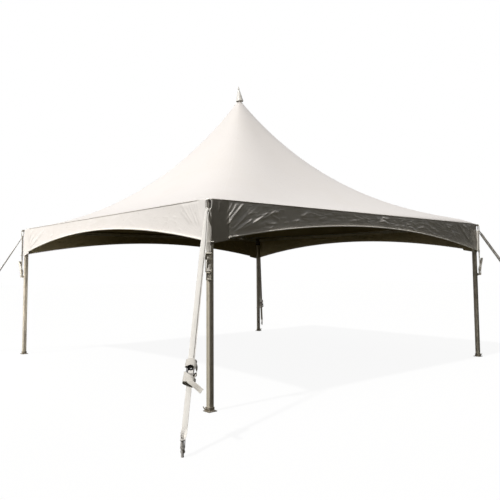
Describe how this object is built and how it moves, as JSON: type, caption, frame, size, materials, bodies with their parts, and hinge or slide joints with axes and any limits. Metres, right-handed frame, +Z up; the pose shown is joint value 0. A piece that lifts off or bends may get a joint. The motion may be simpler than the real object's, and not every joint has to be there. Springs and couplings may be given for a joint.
{
  "type": "marquee tent",
  "caption": "Square peaked frame tent with a hollow-sided white roof, arched valances, four slim legs and corner guy straps with ratchets.",
  "frame": {"origin": "on the ground under the centre of the tent", "axes": "+Z up, X and Y along the sides, front is -Y and right is +X"},
  "size_m": [8.4042, 8.4042, 5.2003],
  "materials": {
    "roof_fabric": "coated, satin",
    "valance_fabric": "coated, satin",
    "leg_metal": "extruded, dull",
    "beam_metal": "extruded, dull",
    "mast_metal": "extruded, dull",
    "foot_metal": "zinc plated, worn",
    "bracket_metal": "zinc plated",
    "ratchet_metal": "zinc plated",
    "stake_metal": "worn",
    "cable_metal": "galvanised",
    "webbing": "woven, matt",
    "finial_plastic": "moulded"
  },
  "bodies": {
    "tent": {"canopy_roof": "roof_fabric", "finial": "finial_plastic", "mast": "mast_metal", "mast_hub": "bracket_metal", "valance_front": "valance_fabric", "valance_right": "valance_fabric", "valance_back": "valance_fabric", "valance_left": "valance_fabric", "eave_beam_front": "beam_metal", "eave_beam_right": "beam_metal", "eave_beam_back": "beam_metal", "eave_beam_left": "beam_metal", "leg_front_left": "leg_metal", "leg_front_right": "leg_metal", "leg_back_right": "leg_metal", "leg_back_left": "leg_metal", "foot_plate_front_left": "foot_metal", "foot_plate_front_right": "foot_metal", "foot_plate_back_right": "foot_metal", "foot_plate_back_left": "foot_metal", "corner_bracket_front_left": "bracket_metal", "corner_bracket_front_right": "bracket_metal", "corner_bracket_back_right": "bracket_metal", "corner_bracket_back_left": "bracket_metal", "cross_cable_front_left": "cable_metal", "cross_cable_front_right": "cable_metal", "cross_cable_back_right": "cable_metal", "cross_cable_back_left": "cable_metal", "leg_strap_front_left": "webbing", "leg_strap_front_right": "webbing", "leg_strap_back_right": "webbing", "leg_strap_back_left": "webbing", "leg_ratchet_front_left": "ratchet_metal", "leg_ratchet_front_right": "ratchet_metal", "leg_ratchet_back_right": "ratchet_metal", "leg_ratchet_back_left": "ratchet_metal", "guy_strap_front_left": "webbing", "guy_strap_front_right": "webbing", "guy_strap_back_right": "webbing", "guy_strap_back_left": "webbing", "guy_ratchet_front_left": "ratchet_metal", "guy_ratchet_front_right": "ratchet_metal", "guy_ratchet_back_right": "ratchet_metal", "guy_ratchet_back_left": "ratchet_metal", "anchor_strap_front_left": "webbing", "anchor_strap_front_right": "webbing", "anchor_strap_back_right": "webbing", "anchor_strap_back_left": "webbing", "stake_front_left": "stake_metal", "stake_front_right": "stake_metal", "stake_back_right": "stake_metal", "stake_back_left": "stake_metal"},
    "lever_front_left": {"leg_ratchet_handle_front_left": "ratchet_metal"},
    "lever_front_right": {"leg_ratchet_handle_front_right": "ratchet_metal"},
    "lever_back_right": {"leg_ratchet_handle_back_right": "ratchet_metal"},
    "lever_back_left": {"leg_ratchet_handle_back_left": "ratchet_metal"}
  },
  "joints": [
    {"name": "ratchet_lever_front_left", "type": "hinge", "parent": "tent", "child": "lever_front_left", "pos_m": [-3.11223, -3.11223, 1.595], "axis": [0.7071, -0.7071, 0], "range_deg": [0, 168]},
    {"name": "ratchet_lever_front_right", "type": "hinge", "parent": "tent", "child": "lever_front_right", "pos_m": [3.11223, -3.11223, 1.595], "axis": [0.7071, 0.7071, 0], "range_deg": [0, 168]},
    {"name": "ratchet_lever_back_right", "type": "hinge", "parent": "tent", "child": "lever_back_right", "pos_m": [3.11223, 3.11223, 1.595], "axis": [-0.7071, 0.7071, 0], "range_deg": [0, 168]},
    {"name": "ratchet_lever_back_left", "type": "hinge", "parent": "tent", "child": "lever_back_left", "pos_m": [-3.11223, 3.11223, 1.595], "axis": [-0.7071, -0.7071, 0], "range_deg": [0, 168]}
  ]
}
